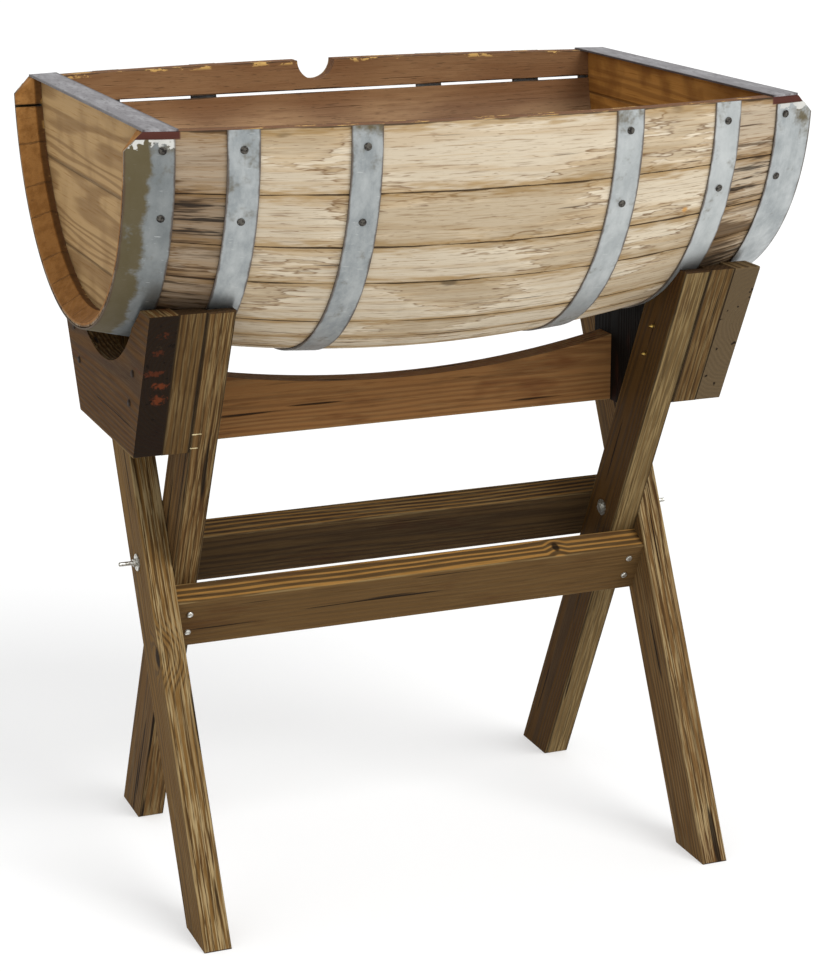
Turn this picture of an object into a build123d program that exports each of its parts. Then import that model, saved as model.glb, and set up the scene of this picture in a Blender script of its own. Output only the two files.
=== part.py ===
from build123d import *
import os
from math import asin, atan2, cos, degrees, radians, sin, sqrt, tan

# Half wine-barrel trough on a crossed-leg timber stand.
# Millimetres. X runs along the barrel, -Y is the front, +Z is up.
# The origin is on the floor, under the middle of the barrel.

# ---- barrel ----
barrel_length = 940
belly_radius = 354
end_radius = 292
stave_thickness = 26
barrel_rise = 239  # height of the sawn face, on the barrel's axis, above the top of the stand
stave_widths = [90, 79, 64, 89, 56, 63, 67, 62, 61, 74, 66, 92, 60, 77, 65, 51]  # at the belly, front to rear
stave_edge_break = 1.2
split_width = 4  # the open joint under the rear top stave
chime_land = 5  # flat rim left outside the bevel of each stave end
chime_bevel = 24
corner_cut = 23  # 45 degree cut at the four top corners
bung_radius = 29
bung_offset = -8

# ---- heads ----
head_recess = 35
head_thickness = 20
croze_depth = 5
croze_clearance = 0.2
left_head_widths = [106, 110]  # boards from the sawn face down, the last one fills what is left
right_head_widths = [62, 104]
strip_width = 42
strip_thickness = 2.5
strip_inset = 1  # kept back from the stave surface at each end

# ---- hoops ----
hoop_thickness = 2
hoop_clearance = 0.15  # over the highest part of the wood under a hoop
hoop_lift = 0.8  # how far the narrow edge of a hoop stands off
chime_hoop_width = 60
hoop_width = 40
quarter_hoop_start = 309
bilge_hoop_start = 158
chime_hoop_drop = 9  # the chime hoops stop this far below the sawn face
chime_screw_inset = 15  # from the hoop's inner edge
hoop_screw_angles = [4.3, 20.7]

# ---- stand ----
leg_width = 79
leg_thickness = 38
leg_lean = 26.6
pivot_height = 466
stand_top = 864
saddle_depth = 209
frame_inner = 317  # from the middle to the inner face of each end frame
seat_clearance = 0.3
saddle_relief_radius = 205
saddle_relief_depth = 103  # relief below the stand's top
timber_edge = 2
foot_edge = 2.5
rail_gap = 51  # between the rail's middle and the belly above it
rail_thickness = 38
rail_middle_height = 63
rail_end_height = 97
rail_block_rear = 36
stretcher_width = 85
stretcher_thickness = 38
front_stretcher_drop = 12  # down the leg from the pivot
rear_stretcher_drop = 6

# ---- fasteners ----
hole_clearance = 0.15
bolt_radius = 3
bolt_tail = 20
washer_radius = 12
washer_thickness = 2
hex_flats = 10
hex_head_height = 4
nut_height = 5
hoop_screw = dict(head_radius=5, head_height=2, shank_radius=2, length=20)
wood_screw = dict(head_radius=4.8, head_height=2.6, shank_radius=2.4, length=72)
long_screw = dict(head_radius=4.8, head_height=2.6, shank_radius=2.4, length=122)
rail_screw = dict(head_radius=4.8, head_height=2.6, shank_radius=2.4, length=84)
stretcher_screw_insets = [23, 57]  # from the stretcher's upper edge
saddle_screw_drops = [92, 136]  # below the stand's top

# ---- worked out from the sizes above ----
half_length = barrel_length / 2
chime_hoop_start = half_length - chime_hoop_width
cut_height = stand_top + barrel_rise
saddle_bottom = stand_top - saddle_depth
rail_bottom = cut_height - belly_radius - rail_gap - rail_middle_height
rail_end_top = rail_bottom + rail_end_height
belly_rise = belly_radius - end_radius
profile_radius = (half_length ** 2 + belly_rise ** 2) / (2 * belly_rise)
barrel_axis = Axis((0, 0, cut_height), (1, 0, 0))
lean = radians(leg_lean)
half_leg = leg_width / 2 / cos(lean)
outer_leg_inner = frame_inner + leg_thickness
saddle_inner = frame_inner + 2 * leg_thickness
saddle_outer = frame_inner + 3 * leg_thickness
sides = (("left", -1), ("right", 1))

os.makedirs("parts", exist_ok=True)


def finish(builder, name):
    builder.part.label = name
    export_step(builder.part, f"parts/{name}.step")


def stave_radius(x):
    """Outside radius of the wood at a distance x from the middle."""
    return sqrt(profile_radius ** 2 - x ** 2) - profile_radius + belly_radius


def radial_plane(angle):
    """A plane through the barrel's axis, whose y runs outwards at an angle below the front edge."""
    turn = radians(angle)
    return Plane(origin=(0, 0, cut_height), x_dir=(1, 0, 0), z_dir=(0, sin(turn), -cos(turn)))


def radial_seat(way, x, angle, radius, tilt):
    """A plane on a hoop, with z pointing out of the barrel and leaning to the barrel's end by the tilt."""
    turn = radians(angle)
    out = Vector(0, -cos(turn), -sin(turn))
    normal = out * cos(tilt) + Vector(way * sin(tilt), 0, 0)
    return Plane(origin=Vector(way * x, 0, cut_height) + out * radius,
                 x_dir=(0, sin(turn), -cos(turn)), z_dir=normal)


def screw(head_radius, head_height, shank_radius, length):
    """A pan-head screw standing on the origin, shank down."""
    tip = 2 * shank_radius
    with BuildPart() as shape:
        Cylinder(head_radius, head_height, align=(Align.CENTER, Align.CENTER, Align.MIN))
        fillet(shape.edges().group_by(Axis.Z)[-1], head_height * 0.7)
        Cylinder(shank_radius, length - tip, align=(Align.CENTER, Align.CENTER, Align.MAX))
        with Locations((0, 0, tip - length)):
            Cone(0.4, shank_radius, tip, align=(Align.CENTER, Align.CENTER, Align.MAX))
    return shape.part


def drill(seats, shank_radius, length):
    """Cut a screw's hole down from each seat in the part being built."""
    with Locations(*[seat.location for seat in seats]):
        Cylinder(shank_radius + hole_clearance, length + 1, align=(Align.CENTER, Align.CENTER, Align.MAX),
                 mode=Mode.SUBTRACT)


def corner_wedges():
    """Take the 45 degree corners off the top of both barrel ends."""
    with BuildSketch(Plane.XZ) as wedge:
        for way in (-1, 1):
            with BuildLine():
                Polyline((way * (half_length + 1), cut_height + 1),
                         (way * (half_length - corner_cut - 1), cut_height + 1),
                         (way * (half_length + 1), cut_height - corner_cut - 1), close=True)
            make_face()
    extrude(wedge.sketch, amount=belly_radius + 10, both=True, mode=Mode.SUBTRACT)


def leg_edge(way, edge, z):
    """Y of a leg's edge at a height; way is 1 for a leg whose top is at the rear, edge is -1 or 1."""
    return way * (z - pivot_height) * tan(lean) + edge * half_leg


def leg_outline(way, low, high):
    return [(leg_edge(way, -1, low), low), (leg_edge(way, 1, low), low),
            (leg_edge(way, 1, high), high), (leg_edge(way, -1, high), high)]


# ---- hoop and screw places ----
hoops = []
for end, way in sides:
    for name, start in (("bilge", bilge_hoop_start), ("quarter", quarter_hoop_start)):
        hoops.append((f"{end}_{name}_hoop", way, start, hoop_width, 0, start + hoop_width / 2))
    hoops.append((f"{end}_chime_hoop", way, chime_hoop_start, chime_hoop_width, chime_hoop_drop,
                  chime_hoop_start + chime_screw_inset))


def hoop_inside(start, width, x):
    """Inside radius of a hoop, a straight cone that stands off at its narrow edge."""
    bulge = width ** 2 / (8 * profile_radius)
    near = stave_radius(start) + bulge + hoop_clearance
    far = stave_radius(start + width) + bulge + hoop_clearance + hoop_lift
    return near + (far - near) * (x - start) / width


def barrel_seat(x_near, x_far):
    """Radius that clears the barrel and its hoops between two distances from the middle."""
    radius = stave_radius(x_near)
    for start, width in ((quarter_hoop_start, hoop_width), (chime_hoop_start, chime_hoop_width)):
        if start < x_far and start + width > x_near:
            radius = max(radius, hoop_inside(start, width, max(start, x_near)) + hoop_thickness)
    return radius + seat_clearance


hoop_screw_seats = []
for name, way, start, width, drop, screw_x in hoops:
    seat_radius = hoop_inside(start, width, screw_x) + hoop_thickness
    tilt = atan2(hoop_inside(start, width, start) - hoop_inside(start, width, start + width), width)
    for angle in hoop_screw_angles:
        for turned in (angle, 180 - angle):
            hoop_screw_seats.append((name, turned, radial_seat(way, screw_x, turned, seat_radius, tilt)))

# ---- staves ----
with BuildSketch() as stave_profile:
    bevel_x = half_length - chime_bevel
    land_radius = end_radius - chime_land
    with BuildLine():
        ThreePointArc((-half_length, end_radius), (0, belly_radius), (half_length, end_radius))
        Polyline((half_length, end_radius), (half_length, land_radius),
                 (bevel_x, stave_radius(bevel_x) - stave_thickness))
        ThreePointArc((bevel_x, stave_radius(bevel_x) - stave_thickness), (0, belly_radius - stave_thickness),
                      (-bevel_x, stave_radius(bevel_x) - stave_thickness))
        Polyline((-bevel_x, stave_radius(bevel_x) - stave_thickness), (-half_length, land_radius),
                 (-half_length, end_radius))
    make_face()
    head_middle = half_length - head_recess - head_thickness / 2
    groove_radius = stave_radius(head_middle) - stave_thickness + croze_depth
    for way in (-1, 1):
        with Locations((way * head_middle, groove_radius)):
            Rectangle(head_thickness + 2 * croze_clearance, 2 * croze_depth + 4,
                      align=(Align.CENTER, Align.MAX), mode=Mode.SUBTRACT)

angle_per_width = 180 / sum(stave_widths)
split_angle = degrees(split_width / belly_radius)
stave_start = 0
for number, width in enumerate(stave_widths, 1):
    stave_end = stave_start + width * angle_per_width
    opened = split_angle if number == len(stave_widths) else 0
    with BuildPart() as stave:
        with BuildSketch(radial_plane(stave_start + opened)):
            add(stave_profile.sketch)
        revolve(axis=barrel_axis, revolution_arc=stave_end - stave_start - opened)
        outside_edges = stave.edges().filter_by(lambda edge: edge.length > barrel_length)
        chamfer(outside_edges, stave_edge_break)
        if number in (1, len(stave_widths)):
            corner_wedges()
        if number == len(stave_widths):
            with Locations(Plane(origin=(bung_offset, belly_radius, cut_height), z_dir=(0, 1, 0))):
                Cylinder(bung_radius, 4 * stave_thickness, mode=Mode.SUBTRACT)
        seats = [seat for name, angle, seat in hoop_screw_seats if stave_start < angle < stave_end]
        if seats:
            drill(seats, hoop_screw["shank_radius"], hoop_screw["length"])
    finish(stave, f"stave_{number:02d}")
    stave_start = stave_end

# ---- heads: boards laid level, let into the croze ----
head_radius = groove_radius - croze_clearance
for end, way, widths in (("left", -1, left_head_widths), ("right", 1, right_head_widths)):
    board_tops = [0] + [sum(widths[:count]) for count in range(1, len(widths) + 1)]
    board_bottoms = board_tops[1:] + [head_radius]
    for number, (top, bottom) in enumerate(zip(board_tops, board_bottoms), 1):
        with BuildPart() as head_board:
            with BuildSketch(Plane.YZ.offset(way * (half_length - head_recess))):
                with Locations((0, cut_height)):
                    Circle(head_radius)
                with Locations((0, cut_height - top)):
                    Rectangle(2 * belly_radius, bottom - top,
                              align=(Align.CENTER, Align.MAX), mode=Mode.INTERSECT)
            extrude(amount=-way * head_thickness)
        finish(head_board, f"{end}_head_board_{number}")

# ---- steel cap strips across the sawn ends ----
strip_far = half_length - corner_cut
strip_near = strip_far - strip_width
for end, way in sides:
    near_reach = stave_radius(strip_near) - strip_inset
    far_reach = stave_radius(strip_far) - strip_inset
    with BuildPart() as cap_strip:
        with BuildSketch(Plane.XY.offset(cut_height)):
            Polygon((way * strip_near, -near_reach), (way * strip_far, -far_reach),
                    (way * strip_far, far_reach), (way * strip_near, near_reach), align=None)
        extrude(amount=strip_thickness)
    finish(cap_strip, f"{end}_cap_strip")

# ---- hoops ----
for name, way, start, width, drop, screw_x in hoops:
    stop_angle = degrees(asin(drop / stave_radius(start + width)))
    with BuildPart() as hoop:
        with BuildSketch(radial_plane(stop_angle)):
            near, far = hoop_inside(start, width, start), hoop_inside(start, width, start + width)
            Polygon((way * start, near), (way * start, near + hoop_thickness),
                    (way * (start + width), far + hoop_thickness), (way * (start + width), far), align=None)
        revolve(axis=barrel_axis, revolution_arc=180 - 2 * stop_angle)
        if drop:
            corner_wedges()
        drill([seat for owner, angle, seat in hoop_screw_seats if owner == name],
              hoop_screw["shank_radius"], hoop_screw["length"])
    finish(hoop, name)

hoop_screw_shape = screw(**hoop_screw)
with BuildPart() as hoop_screws:
    with Locations(*[seat.location for name, angle, seat in hoop_screw_seats]):
        add(hoop_screw_shape)
finish(hoop_screws, "hoop_screws")


# ---- stand ----
def across(way, x, y, z, out=True):
    """A plane on the X side of an end frame, with z pointing away from the middle, or towards it."""
    return Plane(origin=(way * x, y, z), x_dir=(0, 1, 0), z_dir=(way if out else -way, 0, 0))


def leg_middle(way, z):
    return way * (z - pivot_height) * tan(lean)


# unit directions in the Y-Z plane: down the inner leg, and out of its front edge
down_leg = (sin(lean), -cos(lean))
off_leg = (-cos(lean), -sin(lean))


def beside_inner_leg(along, off):
    """Y and Z of a point given down the inner leg from the pivot, and in front of its centre line."""
    return (down_leg[0] * along + off_leg[0] * off, pivot_height + down_leg[1] * along + off_leg[1] * off)


def stretcher_seats(drop, facing):
    """Screw seats on a stretcher's open face; facing is 1 in front of the legs and -1 behind them."""
    reach = facing * (leg_width / 2 + stretcher_thickness)
    screw_x = frame_inner + leg_thickness / 2
    out = Vector(0, facing * off_leg[0], facing * off_leg[1])
    seats = []
    for way in (-1, 1):
        for inset in stretcher_screw_insets:
            y, z = beside_inner_leg(drop + inset, reach)
            seats.append(Plane(origin=(way * screw_x, y, z), x_dir=(1, 0, 0), z_dir=out))
    return seats


stretchers = (("front_stretcher", front_stretcher_drop, 1), ("rear_stretcher", rear_stretcher_drop, -1))
stretcher_screw_seats = []
for name, drop, facing in stretchers:
    stretcher_screw_seats += stretcher_seats(drop, facing)

# Saddle screws run from the saddle's outer face,
# the long ones through to the inner leg and the short ones to the outer leg.
long_seats = {}
short_seats = {}
rail_seats = {}
bolt_seats = {}
for end, way in sides:
    screw_heights = [stand_top - drop for drop in saddle_screw_drops]
    long_seats[end] = [across(way, saddle_outer, leg_middle(-1, z), z) for z in screw_heights]
    short_seats[end] = [across(way, saddle_outer, leg_middle(1, z), z) for z in screw_heights]
    rail_middle = rail_bottom + rail_end_height / 2
    rail_seats[end] = [across(way, outer_leg_inner, 0, rail_middle + step) for step in (-20, 20)]
    bolt_seats[end] = [across(way, saddle_inner, 0, pivot_height)]

for end, way in sides:
    for name, x_near, lean_way in (("outer_leg", outer_leg_inner, 1), ("inner_leg", frame_inner, -1)):
        with BuildPart() as leg:
            with BuildSketch(Plane.YZ.offset(way * x_near)) as leg_side:
                Polygon(*leg_outline(lean_way, 0, stand_top), align=None)
                chamfer(leg_side.vertices().group_by(Axis.Z)[0], foot_edge)
            extrude(amount=way * leg_thickness)
            long_edges = leg.edges().filter_by(lambda edge: edge.length > stand_top)
            fillet(long_edges, timber_edge)
            with BuildSketch(Plane.YZ.offset(way * x_near)):
                with Locations((0, cut_height)):
                    Circle(barrel_seat(x_near, x_near + leg_thickness))
            extrude(amount=way * leg_thickness, mode=Mode.SUBTRACT)
            drill(bolt_seats[end], bolt_radius, 3 * leg_thickness)
            if lean_way == 1:
                drill(short_seats[end], wood_screw["shank_radius"], wood_screw["length"])
            else:
                drill(long_seats[end], long_screw["shank_radius"], long_screw["length"])
                drill(stretcher_screw_seats, wood_screw["shank_radius"], wood_screw["length"])
        finish(leg, f"{end}_{name}")

    with BuildPart() as saddle:
        with BuildSketch(Plane.YZ.offset(way * saddle_inner)):
            Polygon((leg_edge(1, 1, saddle_bottom), saddle_bottom),
                    (leg_edge(1, 1, stand_top), stand_top),
                    (leg_edge(-1, -1, stand_top), stand_top),
                    (leg_edge(-1, -1, saddle_bottom), saddle_bottom), align=None)
        extrude(amount=way * leg_thickness)
        fillet(saddle.edges().filter_by(Axis.X), timber_edge)
        with BuildSketch(Plane.YZ.offset(way * saddle_inner)):
            with Locations((0, cut_height)):
                Circle(barrel_seat(saddle_inner, saddle_outer))
            with Locations((0, stand_top - saddle_relief_depth + saddle_relief_radius)):
                Circle(saddle_relief_radius)
        extrude(amount=way * leg_thickness, mode=Mode.SUBTRACT)
        drill(long_seats[end] + short_seats[end], long_screw["shank_radius"], long_screw["length"])
    finish(saddle, f"{end}_saddle_board")

    with BuildPart() as spacer:
        with BuildSketch(Plane.YZ.offset(way * outer_leg_inner)):
            Polygon(*leg_outline(-1, saddle_bottom, stand_top), align=None)
            with Locations((0, cut_height)):
                Circle(barrel_seat(outer_leg_inner, saddle_inner), mode=Mode.SUBTRACT)
        extrude(amount=way * leg_thickness)
        drill(long_seats[end], long_screw["shank_radius"], long_screw["length"])
    finish(spacer, f"{end}_spacer_block")

    with BuildPart() as rail_block:
        with BuildSketch(Plane.YZ.offset(way * frame_inner)):
            Polygon((leg_edge(-1, 1, rail_bottom), rail_bottom), (rail_block_rear, rail_bottom),
                    (rail_block_rear, stand_top), (leg_edge(-1, 1, stand_top), stand_top), align=None)
            with Locations((0, cut_height)):
                Circle(barrel_seat(frame_inner, outer_leg_inner), mode=Mode.SUBTRACT)
        extrude(amount=way * leg_thickness)
        drill(rail_seats[end], rail_screw["shank_radius"], rail_screw["length"])
    finish(rail_block, f"{end}_rail_block")

    with BuildPart() as bolt:
        with Locations(across(way, frame_inner - washer_thickness, 0, pivot_height)):
            Cylinder(bolt_radius, 2 * leg_thickness + 2 * washer_thickness + nut_height + bolt_tail,
                     align=(Align.CENTER, Align.CENTER, Align.MIN))
        with BuildSketch(across(way, frame_inner - washer_thickness, 0, pivot_height, out=False)):
            RegularPolygon(hex_flats / 2, 6, major_radius=False)
        extrude(amount=hex_head_height)
        chamfer(bolt.faces().sort_by(Axis.X)[-1 if way == 1 else 0].edges(), 1)
    finish(bolt, f"{end}_pivot_bolt")

    with BuildPart() as washers:
        for plane in (across(way, frame_inner, 0, pivot_height, out=False),
                      across(way, saddle_inner, 0, pivot_height)):
            with BuildSketch(plane):
                Circle(washer_radius)
                Circle(bolt_radius + hole_clearance, mode=Mode.SUBTRACT)
            extrude(amount=washer_thickness)
    finish(washers, f"{end}_pivot_washers")

    with BuildPart() as nut:
        with BuildSketch(across(way, saddle_inner + washer_thickness, 0, pivot_height)):
            RegularPolygon(hex_flats / 2, 6, major_radius=False)
            Circle(bolt_radius + hole_clearance, mode=Mode.SUBTRACT)
        extrude(amount=nut_height)
    finish(nut, f"{end}_pivot_nut")

with BuildPart() as top_rail:
    with BuildSketch(Plane.XZ):
        with BuildLine():
            Polyline((frame_inner, rail_end_top), (frame_inner, rail_bottom),
                     (-frame_inner, rail_bottom), (-frame_inner, rail_end_top))
            ThreePointArc((-frame_inner, rail_end_top), (0, rail_bottom + rail_middle_height),
                          (frame_inner, rail_end_top))
        make_face()
    extrude(amount=rail_thickness / 2, both=True)
    fillet(top_rail.edges().filter_by(Axis.X), timber_edge)
    drill(rail_seats["left"] + rail_seats["right"], rail_screw["shank_radius"], rail_screw["length"])
finish(top_rail, "top_rail")

for name, drop, facing in stretchers:
    with BuildPart() as stretcher:
        with BuildSketch(Plane.YZ):
            off_middle = facing * (leg_width + stretcher_thickness) / 2
            middle = beside_inner_leg(drop + stretcher_width / 2, off_middle)
            with Locations(middle):
                Rectangle(stretcher_thickness, stretcher_width, rotation=leg_lean)
        extrude(amount=outer_leg_inner, both=True)
        fillet(stretcher.edges().filter_by(Axis.X), timber_edge)
        drill(stretcher_seats(drop, facing), wood_screw["shank_radius"], wood_screw["length"])
    finish(stretcher, name)

short_screw_shape = screw(**wood_screw)
with BuildPart() as stretcher_screws:
    with Locations(*[seat.location for seat in stretcher_screw_seats]):
        add(short_screw_shape)
finish(stretcher_screws, "stretcher_screws")

long_screw_shape = screw(**long_screw)
with BuildPart() as saddle_screws:
    with Locations(*[seat.location for end in long_seats for seat in long_seats[end]]):
        add(long_screw_shape)
    with Locations(*[seat.location for end in short_seats for seat in short_seats[end]]):
        add(short_screw_shape)
finish(saddle_screws, "saddle_screws")

rail_screw_shape = screw(**rail_screw)
with BuildPart() as rail_screws:
    with Locations(*[seat.location for end in rail_seats for seat in rail_seats[end]]):
        add(rail_screw_shape)
finish(rail_screws, "rail_screws")
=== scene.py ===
import math
import random

import bmesh
import bpy
from mathutils import Matrix, Vector


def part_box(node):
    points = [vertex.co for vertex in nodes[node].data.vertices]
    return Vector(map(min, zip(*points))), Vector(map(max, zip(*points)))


# Half-barrel trough on a crossed-leg timber stand. Metres, X along the barrel, -Y the front, +Z up.
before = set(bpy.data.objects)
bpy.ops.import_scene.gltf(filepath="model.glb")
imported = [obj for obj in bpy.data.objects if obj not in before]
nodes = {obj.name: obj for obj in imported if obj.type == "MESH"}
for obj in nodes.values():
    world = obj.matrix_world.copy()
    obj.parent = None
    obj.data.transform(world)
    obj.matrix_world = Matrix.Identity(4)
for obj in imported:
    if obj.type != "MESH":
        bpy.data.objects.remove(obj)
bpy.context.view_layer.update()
print("frame:", len(nodes), "nodes")

random.seed(11)

smooth = {"interpolation_type": "SMOOTHSTEP"}  # settings of a Map Range node with soft ends
asColour = {"out": 2, "data_type": "RGBA"}  # settings of a Mix node for colours


# Small tools.

def tint(code):  # sRGB hex to the linear colour that a shader takes
    parts = [int(code[i:i + 2], 16) / 255 for i in (1, 3, 5)]
    return [p / 12.92 if p <= 0.04045 else ((p + 0.055) / 1.055) ** 2.4 for p in parts] + [1.0]


def perMm(size):  # noise scale whose patches are about this many millimetres across
    return 1000 / size


def ringsPerMm(gap):  # wave scale whose rings are this many millimetres apart
    return 2 * math.pi / 20 * 1000 / gap


def put(tree, kind, links=(), out=0, **settings):  # adds a node, fills in its sockets and gives back one output
    node = tree.nodes.new("ShaderNode" + kind)
    for name, value in settings.items():
        setattr(node, name, value)
    for socket, source in links.items() if isinstance(links, dict) else enumerate(links):
        if isinstance(source, bpy.types.NodeSocket):
            tree.links.new(source, node.inputs[socket])
        else:
            node.inputs[socket].default_value = source
    return node.outputs[out] if node.outputs else None


def newMaterial(name):
    made = bpy.data.materials.new(name)
    made.use_nodes = True
    made.node_tree.nodes.clear()
    return made, made.node_tree


def closeMaterial(tree, colour, roughness, height, relief, **fixed):
    normal = put(tree, "Bump", {"Height": height, "Distance": relief, "Strength": 1.0})
    surface = put(tree, "BsdfPrincipled",
                  {"Base Color": colour, "Roughness": roughness, "Normal": normal,
                   **{name.replace("_", " "): value for name, value in fixed.items()}})
    put(tree, "OutputMaterial", {"Surface": surface})


def dress(node, material):  # a CAD node's own slots take the material
    slots = nodes[node].data.materials
    slots.clear()
    slots.append(material)


def middle(node):
    low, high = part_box(node)
    return (low + high) / 2


def stretched(tree, place, look, through=1.0):  # noise drawn out along the grain
    ratio, size, detail, rough = look
    spread = put(tree, "VectorMath", (place, (ratio, 1, through)), operation="MULTIPLY")
    return put(tree, "TexNoise", {"Vector": spread, "Scale": perMm(size), "Detail": detail, "Roughness": rough})


def addLayers(tree, colour, look, layers):  # lays some of a look's colours over another, each by its amount
    for code, amount in layers:
        colour = put(tree, "Mix", {0: amount, 6: colour, 7: tint(look[code])}, **asColour)
    return colour


def addSpots(tree, colour, place, spots):  # soft-edged marks: a centre, three radii, a colour and a strength
    if not spots:
        return colour
    ragged = put(tree, "TexNoise", {"Vector": place, "Scale": perMm(7), "Detail": 4.0, "Roughness": 0.7})
    ragged = put(tree, "MapRange", (ragged, 0.3, 0.7, -0.45, 0.45), **smooth)
    for centre, radii, code, strength in spots:
        away = put(tree, "VectorMath", (place, centre), operation="SUBTRACT")
        away = put(tree, "VectorMath", (away, [1 / r for r in radii]), operation="MULTIPLY")
        away = put(tree, "VectorMath", (away,), out=1, operation="LENGTH")
        away = put(tree, "Math", (away, ragged), operation="ADD")
        amount = put(tree, "MapRange", (away, 0.55, 1.0, strength, 0.0), **smooth)
        colour = put(tree, "Mix", {0: amount, 6: colour, 7: tint(code)}, **asColour)
    return colour


def woodFigure(tree, place, wood, knots=()):
    # Growth rings, fibres and knot cores of a solid piece of wood, whose place has X along the grain.
    slow = put(tree, "VectorMath", (place, (0.1, 1, 1)), operation="MULTIPLY")
    drift = put(tree, "TexNoise", {"Vector": slow, "Scale": perMm(wood["driftMm"]), "Detail": 2.0}, out=1)
    drift = put(tree, "VectorMath", (drift, (-0.5, -0.5, -0.5)), operation="ADD")
    drift = put(tree, "VectorMath", {0: drift, "Scale": wood["wanderMm"] / 1000}, operation="SCALE")
    bent = put(tree, "VectorMath", (slow, drift), operation="ADD")
    core = 0.0
    for spot, size in knots:  # the rings are pushed aside round a knot
        away = put(tree, "VectorMath", (place, spot), operation="SUBTRACT")
        away = put(tree, "VectorMath", (away, (0.6, 1, 0.35)), operation="MULTIPLY")
        away = put(tree, "VectorMath", (away,), out=1, operation="LENGTH")
        push = put(tree, "MapRange", (away, 0.0, size * 3.2, size * 1.5, 0.0), **smooth)
        bent = put(tree, "VectorMath", (bent, push), operation="ADD")
        heart = put(tree, "MapRange", (away, size * 0.55, size * 1.05, 1.0, 0.0), **smooth)
        core = put(tree, "Math", (core, heart), operation="MAXIMUM")
    bent = put(tree, "VectorMath", (bent, wood["pith"]), operation="SUBTRACT")
    rings = put(tree, "TexWave",
                {"Vector": bent, "Scale": ringsPerMm(wood["ringMm"]), "Distortion": wood["wobble"],
                 "Detail": 2.0, "Detail Scale": 0.35, "Detail Roughness": 0.55},
                out=1, wave_type="RINGS", rings_direction="X", wave_profile="SIN")
    fine = put(tree, "VectorMath", (place, (0.03, 1, 1)), operation="MULTIPLY")
    fibre = put(tree, "TexNoise",
                {"Vector": fine, "Scale": perMm(wood["fibreMm"]), "Detail": 3.0, "Roughness": 0.65})
    return rings, fibre, core


# The trough's shape, read back from the frame, with the few measures that it doesn't give.
staveNames = sorted(name for name in nodes if name.startswith("stave_"))
cutHeight = max(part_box(name)[1].z for name in staveNames)
halfLength = max(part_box(name)[1].x for name in staveNames)
bellyRadius = max(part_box(name)[1].y for name in staveNames)
barrel = {"endRadius": 0.292, "thickness": 0.026, "chimeBevel": 0.024, "headRecess": 0.035}
bevelFrom = halfLength - barrel["chimeBevel"]
headFace = halfLength - barrel["headRecess"]
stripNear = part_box("right_cap_strip")[0].x
hoopInner, hoopOuter = (corner.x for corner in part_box("right_quarter_hoop"))
bow = bellyRadius - barrel["endRadius"]
profileRadius = (halfLength ** 2 + bow ** 2) / (2 * bow)


def staveAngles(name):  # where a stave starts and ends, in radians below the front edge
    belly = [vertex.co for vertex in nodes[name].data.vertices if abs(vertex.co.x) < halfLength * 0.9]
    turns = [math.atan2(cutHeight - spot.z, -spot.y) for spot in belly]
    return min(turns), max(turns)


def barrelPlace(tree):  # the place, x along the barrel, z, and the angle round it from the front edge
    place = put(tree, "TexCoord", out=3)
    x = put(tree, "SeparateXYZ", {0: place})
    y, z = x.node.outputs[1], x.node.outputs[2]
    drop = put(tree, "Math", (cutHeight, z), operation="SUBTRACT")
    front = put(tree, "Math", (y, -1.0), operation="MULTIPLY")
    angle = put(tree, "Math", (drop, front), operation="ARCTAN2")
    return place, x, z, angle


def woodDepth(tree, x):  # the distance from the barrel's axis, and the depth below the outside of the wood
    y, z = x.node.outputs[1], x.node.outputs[2]
    drop = put(tree, "Math", (cutHeight, z), operation="SUBTRACT")
    across = put(tree, "CombineXYZ", {1: y, 2: drop})
    radius = put(tree, "VectorMath", (across,), out=1, operation="LENGTH")
    square = put(tree, "Math", (x, x), operation="MULTIPLY")
    square = put(tree, "Math", (profileRadius ** 2, square), operation="SUBTRACT")
    outside = put(tree, "Math", (square,), operation="SQRT")
    outside = put(tree, "Math", (outside, bellyRadius - profileRadius), operation="ADD")
    depth = put(tree, "Math", (outside, radius), operation="SUBTRACT")
    return radius, depth


# Oak staves.
# Old wine-cask oak, quarter sawn and weathered outside to cream and grey with tide marks, soot and dark
# joints; inside it is stained by wine; the sawn faces and ends are browner.
staveOak = {
    "cream": "#DFD2BA", "grey": "#BFB19A", "ring": "#A88A60", "tide": "#6B4A27", "stain": "#9A7A48",
    "crack": "#3A2A1C", "soot": "#352A1E", "char": "#1C1712", "resin": "#C58A34", "wine": "#A28260",
    "wineDark": "#70503A", "sawn": "#724A25", "chip": "#DDB46A", "end": "#A0703A", "endDark": "#7E5222",
    "red": "#4E2A22",
    "ringMm": 9, "fibreMm": 2.4, "driftMm": 60, "wanderMm": 30, "wobble": 2.6, "pith": (0, -0.02, 0.09),
    # noises: the squeeze along the grain, the size in mm, the detail and the roughness
    "patch": (0.55, 105, 0.0, 0.5), "streak": (0.09, 11, 3.0, 0.7), "feather": (0.16, 8, 2.0, 0.6),
    "line": (0.05, 2.8, 2.0, 0.6), "pore": (0.10, 1.7, 1.0, 0.5), "split": (0.05, 7, 1.0, 0.5),
    "waterLine": 0.552,  # height of the patch noise at which a stain has its dark rim
    "resinMm": 55, "smudgeMm": 95, "flakeMm": 13, "endMm": 14,
    "bareRim": 0.0095,  # strip of wood left showing above the chime hoops
}
staveAge = {  # how sooty each stave is near the quarter and chime hoops
    "stave_01": 0.12, "stave_02": 0.85, "stave_03": 0.25, "stave_04": 0.65, "stave_05": 0.5, "others": 0.3,
}


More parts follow.
